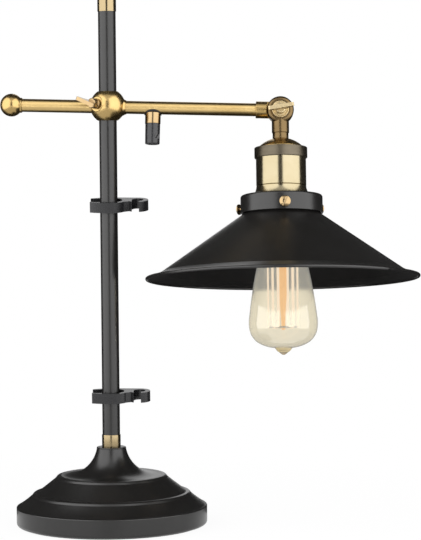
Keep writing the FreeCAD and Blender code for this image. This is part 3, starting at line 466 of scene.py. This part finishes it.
# %% Brasses
brass("antique_brass", (0.46, 0.325, 0.135), (0.34, 0.225, 0.08), 0.6, (0.22, 0.29))
brass("turned_brass", (0.58, 0.42, 0.185), (0.44, 0.30, 0.11), 0.6, (0.26, 0.36), turned=True)
brass("cup_brass", (0.335, 0.288, 0.188), (0.275, 0.225, 0.125), 0.5, (0.20, 0.26), turned=True)
brass("dark_brass", (0.14, 0.095, 0.045), (0.09, 0.06, 0.026), 0.6, (0.24, 0.31))
brass("pale_brass", (0.52, 0.42, 0.25), (0.40, 0.30, 0.15), 0.6, (0.32, 0.38))
brass("brushed_ring", (0.135, 0.115, 0.085), (0.085, 0.072, 0.05), 0.7, (0.40, 0.55), turned=True)
brass("bright_brass", (0.34, 0.245, 0.13), (0.275, 0.18, 0.08), 0.5, (0.16, 0.24))
brass("turned_bright", (0.295, 0.233, 0.135), (0.235, 0.175, 0.09), 0.5, (0.18, 0.26), turned=True)
print("brasses added,", len(finish), "finishes")

# %% [markdown]
# ### Glass and the glowing wire
# The bulb's glass is pale amber. A thin film could be faked with transparency, but the wall has a real
# thickness here, so light bends and is tinted at its surfaces by the base colour, and an absorbing
# volume between them takes more from rays that cross the wall at a slant. A very faint bluish-white
# glow painted on the glass stands in for the pale light it shows in front of a dark shade. The
# filament glows almost white, and the glass mount behind it has a painted orange glow for the
# filament's light on it.

# %% Glass and glow
def glass(name, surface_tint, bending, depth_tint, depth_density, painted_glow, painted_glow_strength):
    """Transmitting glass: tint at the surface, absorption in the wall, a faint painted glow and uneven gloss.
    """
    material, tree, shader = new_material(name)
    place = add(tree, "TexCoord")
    texture = placed_group(tree, grain, Size=25.0)
    link(tree, place.outputs["Object"], texture.inputs["Vector"])
    link(tree, ranged(tree, texture.outputs["Tone"], 0.06, 0.10), shader.inputs["Roughness"])
    set_sockets(shader, {"Transmission Weight": 1.0, "Base Color": (*surface_tint, 1), "IOR": bending,
                         "Emission Color": (*painted_glow, 1), "Emission Strength": painted_glow_strength})
    depth = add(tree, "VolumeAbsorption", Color=(*depth_tint, 1), Density=depth_density)
    link(tree, depth.outputs["Volume"], tree.nodes["Material Output"].inputs["Volume"])
    finish[name] = material


def glow(name, bright_glow, deep_glow, strength, base):
    """Glowing surface, the filament's own glow or a painted one: the emission colour runs between two colours
    by the stain's patches.
    """
    material, tree, shader = new_material(name)
    place = add(tree, "TexCoord")
    glow_patches = placed_group(tree, stain, Light=(*bright_glow, 1), Dark=(*deep_glow, 1), Amount=0.8, Size=60.0)
    link(tree, place.outputs["Object"], glow_patches.inputs["Vector"])
    link(tree, glow_patches.outputs["Color"], shader.inputs["Emission Color"])
    set_sockets(shader, {"Emission Strength": strength, "Base Color": (*base, 1), "Roughness": 0.4})
    finish[name] = material


# haze here is a painted glow: an even bluish-white emission that brightens the glass
glass("amber_glass", surface_tint=(0.74, 0.70, 0.60), bending=1.52, depth_tint=(0.80, 0.72, 0.45),
      depth_density=190.0, painted_glow=(0.95, 0.975, 1.0), painted_glow_strength=0.09)
# clear_glass is the glass mount's slot: its orange emission is a painted glow for the filament's light on the
# mount
glow("clear_glass", (1.0, 0.52, 0.14), (0.97, 0.62, 0.26), 0.9, (0.2, 0.1, 0.03))
glow("filament_wire", (1.0, 0.90, 0.80), (1.0, 0.83, 0.70), 0.95, (0.3, 0.2, 0.1))
print("glass and glow added,", len(finish), "finishes")

# %% [markdown]
# ## Dressing the CAD pieces
# Every CAD piece names a material slot in the record. Pieces whose shape is already right keep their
# mesh and just take the finish of their slot. Three small pieces look lighter or darker than their
# slot's finish in the photograph, and take a near relation of it.

# %% Finishes on the CAD pieces
slot_of = {part["node"]: part["material_slot"] for part in frame["record"]["subparts"]}
own_finish = {"hinge_screw": "pale_brass", "arm_knuckle": "antique_brass", "outlet_screw": "black_glass"}
for name, piece in nodes.items():
    for holder in piece.material_slots:
        holder.material = finish[own_finish.get(name, slot_of[name])]
print("finishes on", len(nodes), "pieces")


def dress(piece, material):
    """Gives a new piece its finish."""
    piece.data.materials.append(finish[material])


# %% [markdown]
# ## Pole trim
# A brass ferrule stands at the foot of the pole and a cap closes its top. Both are short turned sleeves
# with eased edges, so both come from the lathe, with more points at the edges than CAD gave them.

# %% Cap and ferrule
pole_radius, trim_radius = 8.25, 8.75
cap_top, cap_roof, cap_low = 493.2, 489.7, 481.2
ferrule_low, ferrule_top = 73.7, 85.3

cap = lathe("cap", rounded([(0, cap_top), (trim_radius, cap_top, 1.0), (trim_radius, cap_low, 0.2),
                            (pole_radius, cap_low), (pole_radius, cap_roof), (0, cap_roof)]),
            lamp_frame, "stand", ["pole_cap"])
dress(cap, "turned_bright")
ferrule = lathe("ferrule", rounded([(pole_radius, ferrule_low), (trim_radius, ferrule_low, 0.2),
                                    (trim_radius, ferrule_top, 0.3), (pole_radius, ferrule_top)]),
                lamp_frame, "stand", ["pole_ferrule"])
dress(ferrule, "turned_bright")
print("cap", len(cap.data.polygons), "faces, ferrule", len(ferrule.data.polygons))

# %% [markdown]
# ## Rods and knob
# The arm is two brass rods that leave the clamp ball on opposite sides. The left one is solid and
# carries a round counterweight, and the right one is a tube. A rod is the plainest turned piece there
# is, but it needs the turning UVs, so that its long highlight is brushed like the rest. The knob is an
# arc of a circle swept round, which gives a true ball, closed by a short neck.

# %% Rods and knob
rod_radius, tube_bore_radius = 6.1, 5.0
rod_start, rod_end, tube_end = 11.2, 84.9, 147.4
knob_radius, knob_centre, neck_radius = 10.65, 89.9, 7.0

rod_left = lathe("rod_left", [(0, -rod_end), (rod_radius, -rod_end), (rod_radius, -60), (rod_radius, -35),
                              (rod_radius, -rod_start), (0, -rod_start)],
                 arm_frame, "arm", ["counter_rod"], tilt=along_arm)
dress(rod_left, "turned_brass")
rod_right = lathe("rod_right", [(tube_bore_radius, rod_start), (rod_radius, rod_start), (rod_radius, 50),
                                (rod_radius, 100), (rod_radius, tube_end), (tube_bore_radius, tube_end)],
                  arm_frame, "arm", ["arm_tube"], tilt=along_arm)
dress(rod_right, "turned_brass")
swing = np.radians(np.linspace(180, 41, 40))
ball_line = [(knob_radius * math.sin(a), knob_radius * math.cos(a) - knob_centre) for a in swing]
neck_line = [(neck_radius, -81.6), (neck_radius, -80.3), (6.6, -79.9), (rod_radius, -79.9),
             (rod_radius, -rod_end), (0, -rod_end)]
knob = lathe("knob", ball_line + neck_line, arm_frame, "arm", ["counter_knob"], tilt=along_arm)
dress(knob, "antique_brass")
print("rods and a knob of", len(knob.data.polygons), "faces")

# %% [markdown]
# ## The lampholder
# Below the hinge come a ring nut, a domed cap, a brushed ring and a tall cup that flares out over the
# shade's collar. All of them hang along the head's own axis, so their heights are written downwards
# from the hinge and turned into negative heights in one place.

# %% Nut, dome and ring
def below(outline):
    """The outline with its depths, measured down from the hinge, made into heights."""
    return [(point[0], -point[1]) + tuple(point[2:]) for point in outline]


neck_bore = 5.0
nut_radius, nut_top, nut_low = 7.43, 21.5, 27.0
dome_radius, dome_centre = 29.3, 55.3
brim_radius, brim_top, brim_low = 22.9, 36.3, 37.5
ring_radius, ring_top, ring_low = 24.7, 35.3, 45.3
ring_bore, ring_roof_bore, ring_roof = 23.4, 21.0, 36.2

nut = lathe("ring_nut", rounded(below([(neck_bore, nut_top), (nut_radius, nut_top, 0.25),
                                       (nut_radius, nut_low, 0.3), (neck_bore, nut_low)])),
            head_frame, "head", ["neck_nut"])
dress(nut, "dark_brass")
depth = np.linspace(27.3, 34.5, 16)
dome_side = list(zip(np.sqrt(dome_radius ** 2 - (dome_centre - depth) ** 2), depth))
dome_brim = [(20.9, brim_top), (brim_radius, brim_top), (brim_radius, brim_low), (19.1, brim_low)]
dome_inside = [(19.1, 35.1), (14.5, 31.2), (8.0, 28.2), (neck_bore, 28.0)]
dome = lathe("dome", rounded(below([(neck_bore, nut_low)] + dome_side + dome_brim + dome_inside)),
             head_frame, "head", ["socket_cap"])
dress(dome, "antique_brass")
ring = lathe("ring", rounded(below([(ring_roof_bore, ring_top), (ring_radius, ring_top, 0.8),
                                    (ring_radius, ring_low, 0.8), (ring_bore, ring_low),
                                    (ring_bore, ring_roof), (ring_roof_bore, ring_roof)])),
             head_frame, "head", ["socket_ring"])
dress(ring, "brushed_ring")
print("nut, dome and ring", sum(len(p.data.polygons) for p in (nut, dome, ring)), "faces")

# %% [markdown]
# ### The cup
# The cup is a straight sleeve with one fine groove and a flared mouth, and a narrower threaded skirt
# goes on below it through the shade's collar. The flare is a parabola through three measured points.

# %% Cup
cup_radius, cup_bore, cup_top = 23.35, 22.2, 37.6
groove_radius, groove_depth, groove_half_height = 22.85, 71.5, 0.5
flare_start, flare_radius, flare_end, mouth = 73.0, 26.2, 79.6, 80.0
skirt_radius, skirt_bore, skirt_top, skirt_end = 21.0, 19.8, 78.7, 99.0

flare = bow((cup_radius, flare_start), (24.35, 76.4), (flare_radius, flare_end))
cup_side = [(cup_bore, cup_top), (cup_radius, cup_top), (cup_radius, groove_depth - groove_half_height),
            (groove_radius, groove_depth), (cup_radius, groove_depth + groove_half_height)]
cup_skirt = [(flare_radius, flare_end), (flare_radius, mouth), (skirt_radius, mouth),
             (skirt_radius, skirt_end), (skirt_bore, skirt_end), (skirt_bore, skirt_top),
             (cup_bore, skirt_top)]
cup = lathe("cup", rounded(below(cup_side + flare + cup_skirt)), head_frame, "head", ["socket_cup"])
dress(cup, "cup_brass")
print("cup", len(cup.data.polygons), "faces")

# %% [markdown]
# ## The bulb
# The glass is blown, so its outline is one smooth curve from the cap to the tip. A cubic through a few
# measured radii would do, but it can ripple. A chain of short Hermite curves whose slopes come from
# the neighbours stays calm, and it is quick to write for whole arrays. The wall is the same curve
# moved inwards, so that light bends once going in and once coming out. Inside, the wall ends almost
# flat above the pip, which is solid glass.

# %% Bulb glass
curve_steps = 10


def through(points):
    """Smooth curve through points: each stretch is a cubic whose end slopes are (next - previous) / 2."""
    measured = np.array(points, float)
    slope = np.gradient(measured, axis=0)
    t = np.linspace(0, 1, curve_steps, endpoint=False)[None, :, None]
    last, following = measured[:-1, None], measured[1:, None]
    curve = (last * (2 * t ** 3 - 3 * t ** 2 + 1) + following * (3 * t ** 2 - 2 * t ** 3)
             + slope[:-1, None] * (t ** 3 - 2 * t ** 2 + t) + slope[1:, None] * (t ** 3 - t ** 2))
    return np.vstack([curve.reshape(-1, 2), measured[-1:]])


shoulder = [(12.4, 115.2), (15.3, 119.3), (18.2, 126.3), (20.6, 133.5), (23.0, 142.5), (24.7, 150.5)]
belly = [(26.6, 160.0), (28.2, 169.1), (29.7, 178.5), (30.9, 187.6), (31.9, 196.0), (31.95, 201.0)]
underside = [(31.2, 206.5), (29.5, 210.8), (25.8, 215.5), (21.3, 218.5), (16.6, 220.5), (12.0, 221.7)]
pip = [(8.6, 222.2), (7.6, 222.9), (6.9, 224.0), (5.6, 225.4), (3.9, 226.5), (2.4, 227.7), (1.2, 228.5),
       (0.0, 228.7)]
wall, neck_top, neck_outside = 0.8, 112.2, 11.9

side = through(shoulder + belly + underside + pip)
along = unit(np.gradient(side, axis=0))
inner = side + wall * np.stack([-along[:, 1], along[:, 0]], axis=1)
inner = inner[:curve_steps * len(shoulder + belly + underside)]
inner_floor = [[0.0, inner[-1, 1] + 0.3]]
neck_start, neck_end = [[neck_outside, neck_top]], [[neck_outside - wall, neck_top]]
loop = np.vstack([neck_start, side, inner_floor, inner[::-1], neck_end])
bulb = lathe("bulb", loop * [1, -1], head_frame, "bulb", ["bulb_glass"], segments=160)
dress(bulb, "amber_glass")
print("bulb", len(bulb.data.polygons), "faces, widest", round(side[:, 0].max(), 1), "mm")

# %% [markdown]
# ## The filament
# A fine wire runs up and down between two spiders of hooks. Each run is a tube along a path. The tube's
# rings must not twist where the path bends, and the simplest safe way is a fixed reference
# direction: here it is the line from the bulb's axis to the path, which never runs along the wire.

# %% Tube
def tube(path, radius, sides=8):
    """Rings of points round a path. Each ring lies in the plane of two directions across the path: the one
    away from the axis, made square to the path, and the cross product of both. Returns points and faces."""
    ahead = unit(np.gradient(path, axis=0))
    out = path * [1, 1, 0]
    out = unit(out - ahead * (out * ahead).sum(1, keepdims=True))
    across = np.cross(ahead, out)
    angle = np.linspace(0, 2 * np.pi, sides, endpoint=False)[:, None]
    rings = path[:, None] + radius * (out[:, None] * np.cos(angle) + across[:, None] * np.sin(angle))
    i, j = np.meshgrid(np.arange(len(path) - 1), np.arange(sides), indexing="ij")
    this_ring, next_ring = i * sides, (i + 1) * sides
    right = (j + 1) % sides
    faces = np.stack([this_ring + j, this_ring + right, next_ring + right, next_ring + j], axis=-1)
    ends = [list(range(sides))[::-1], list(range((len(path) - 1) * sides, len(path) * sides))]
    return rings.reshape(-1, 3), faces.reshape(-1, 4).tolist() + ends


# %% Filament
turns, half_turn_degrees = 6, 12
cage_radius, cage_top, cage_low, wire_radius = 14.0, -128.0, -203.0, 0.8
samples, smoothings = 24, 3

middles = np.arange(turns) * 360 / turns - 60
angles = np.radians((middles[:, None] + half_turn_degrees * np.array([-1, -1, 1, 1])).ravel())
heights = np.tile([cage_top, cage_low, cage_low, cage_top], turns)
corners = np.stack([cage_radius * np.cos(angles), cage_radius * np.sin(angles), heights], axis=1)
share = np.linspace(0, 1, samples, endpoint=False)[None, :, None]
path = (corners[:-1, None] * (1 - share) + corners[1:, None] * share).reshape(-1, 3)
for _ in range(smoothings):
    path[1:-1] = (path[:-2] + path[1:-1] + path[2:]) / 3
wire_points, wire_faces = tube(path, wire_radius)
wire_points = np.c_[wire_points, np.ones(len(wire_points))] @ head_frame.T
no_map = np.zeros((sum(len(face) for face in wire_faces), 2))
wire = mesh_object("wire", wire_points[:, :3], wire_faces, no_map, "bulb", ["filament"])
dress(wire, "filament_wire")
print("filament", len(wire.data.polygons), "faces")

# %% [markdown]
# ## Floor and background
# The lamp stands on a white floor in front of a white background, and the floor keeps a soft shadow.
# Plain white paint would turn grey wherever less light falls, so the floor and the world are plain
# white to the rays that look at them. Only near the lamp does the paper's own shading show through,
# which is where its shadow lies.

# %% Floor and background
def stage_mesh(name, points, faces, material):
    """A mesh that belongs to the studio and not to the lamp."""
    mesh = bpy.data.meshes.new(name)
    mesh.from_pydata(points, [], faces)
    mesh.materials.append(material)
    item = bpy.data.objects.new(name, mesh)
    bpy.context.collection.objects.link(item)
    return item


def looked_at(tree):
    """1 where a camera, glossy or transmission ray looks, and 0 where a diffuse ray does."""
    rays = add(tree, "LightPath")
    first = add(tree, "Math", operation="MAXIMUM")
    second = add(tree, "Math", operation="MAXIMUM")
    link(tree, rays.outputs["Is Camera Ray"], first.inputs[0])
    link(tree, rays.outputs["Is Glossy Ray"], first.inputs[1])
    link(tree, first.outputs[0], second.inputs[0])
    link(tree, rays.outputs["Is Transmission Ray"], second.inputs[1])
    return second.outputs[0]


floor_radius, floor_centre_x, floor_sides = 1.2, 0.05, 64
shadow_from, shadow_to, white_near_lamp = 0.1, 0.5, 0.94
room_grey = (0.42, 0.42, 0.43, 1)

floor_material, tree, shader = new_material("floor_paper")
set_sockets(shader, {"Base Color": (0.92, 0.92, 0.92, 1), "Roughness": 0.95, "Specular IOR Level": 0.0})
white = add(tree, "Emission", Strength=1.0)
blend_floor = add(tree, "MixShader")
place = add(tree, "TexCoord")
away = add(tree, "VectorMath", operation="LENGTH")
fade = add(tree, "MapRange")
set_sockets(fade, {"From Min": shadow_from, "From Max": shadow_to, "To Min": white_near_lamp, "To Max": 1.0})
amount = add(tree, "Math", operation="MULTIPLY")
link(tree, place.outputs["Object"], away.inputs[0])
link(tree, away.outputs["Value"], fade.inputs["Value"])
link(tree, fade.outputs["Result"], amount.inputs[0])
link(tree, looked_at(tree), amount.inputs[1])
link(tree, amount.outputs[0], blend_floor.inputs["Fac"])
link(tree, shader.outputs[0], blend_floor.inputs[1])
link(tree, white.outputs[0], blend_floor.inputs[2])
link(tree, blend_floor.outputs[0], tree.nodes["Material Output"].inputs["Surface"])
a = np.linspace(0, 2 * np.pi, floor_sides, endpoint=False)
ground = np.zeros(floor_sides)
disc = np.stack([floor_radius * np.cos(a) + floor_centre_x, floor_radius * np.sin(a), ground], axis=1)
stage_mesh("floor", disc.tolist(), [list(range(floor_sides))], floor_material)

world = bpy.data.worlds.new("studio")
bpy.context.scene.world = world
world.use_nodes = True
tree = world.node_tree
room = tree.nodes["Background"]
room.inputs["Color"].default_value = room_grey
backdrop = add(tree, "Background", Color=(1, 1, 1, 1))
choose = add(tree, "MixShader")
link(tree, looked_at(tree), choose.inputs["Fac"])
link(tree, room.outputs[0], choose.inputs[1])
link(tree, backdrop.outputs[0], choose.inputs[2])
link(tree, choose.outputs[0], tree.nodes["World Output"].inputs["Surface"])
print("floor and white background")

# %% [markdown]
# ## Black cards
# Shiny metal in an all-white room would lose its edges, so a photographer stands black cards round it,
# outside the picture. The cards here are seen by reflections only.

# %% Cards
lamp_middle = 0.095
card_material, tree, shader = new_material("black_card")
set_sockets(shader, {"Base Color": (0.03, 0.03, 0.03, 1), "Roughness": 1.0})


def card(name, corners):
    """Flat card that only reflections see."""
    item = stage_mesh(name, corners, [[0, 1, 2, 3]], card_material)
    item.visible_camera = False
    item.visible_diffuse = False
    item.visible_transmission = False
    item.visible_shadow = False


def upright(name, x0, y0, x1, y1, high=1.8):
    """Card that stands on the floor between two places on the floor plan."""
    card(name, [(x0, y0, 0.0), (x1, y1, 0.0), (x1, y1, high), (x0, y0, high)])


def lying(name, x0, y0, x1, y1, height):
    """Level card over a rectangle of the floor plan."""
    card(name, [(x0, y0, height), (x1, y0, height), (x1, y1, height), (x0, y1, height)])


upright("card_behind_left", lamp_middle - 0.95, 0.18, lamp_middle - 0.20, 1.4)
upright("card_behind_right", lamp_middle + 0.95, 0.05, lamp_middle + 0.20, 1.4)
upright("card_front", lamp_middle - 0.52, -2.1, lamp_middle + 0.32, -2.1)
lying("card_above", -1.2, -0.4, 1.4, 1.6, 2.0)
lying("card_below", -1.0, 0.05, 1.2, 1.2, 0.002)
print("cards in place")

# %% [markdown]
# ## Light
# Two tall soft boxes stand left and right, from beside the camera to just behind the lamp, with a narrow
# gap between them where the camera looks through. They give the black pole and the brass cup their two
# pale bands with a dark line in the middle.

# %% Soft boxes
box_low, box_high, box_power = -0.5, 1.9, 26.0


def soft_box(name, x0, y0, x1, y1):
    """Rectangular lamp between two places on the floor plan. An area lamp shines along its own -Z, so
    it is stood up by a quarter turn about X and then turned by a yaw about Z to face the lamp."""
    start, end = np.array([x0, y0]), np.array([x1, y1])
    centre = np.append((start + end) / 2, (box_low + box_high) / 2)
    data = bpy.data.lights.new(name, "AREA")
    data.shape = "RECTANGLE"
    data.size = float(np.linalg.norm(end - start))
    data.size_y = box_high - box_low
    data.energy = box_power
    item = bpy.data.objects.new(name, data)
    bpy.context.collection.objects.link(item)
    item.location = centre
    across = unit(end - start)
    facing = np.array([-across[1], across[0]])
    if facing @ (np.array([lamp_middle, 0]) - centre[:2]) < 0:
        facing = -facing
    item.rotation_euler = (math.radians(90), 0, math.atan2(-facing[0], facing[1]))


soft_box("box_left", lamp_middle - 0.38, -1.60, lamp_middle - 0.92, 0.16)
soft_box("box_right", lamp_middle + 0.20, -1.62, lamp_middle + 0.92, 0.02)

# %% [markdown]
# ## Finish
# The picture's colours are shown plainly, with the Standard view.

# %% Colour
bpy.context.scene.view_settings.view_transform = "Standard"
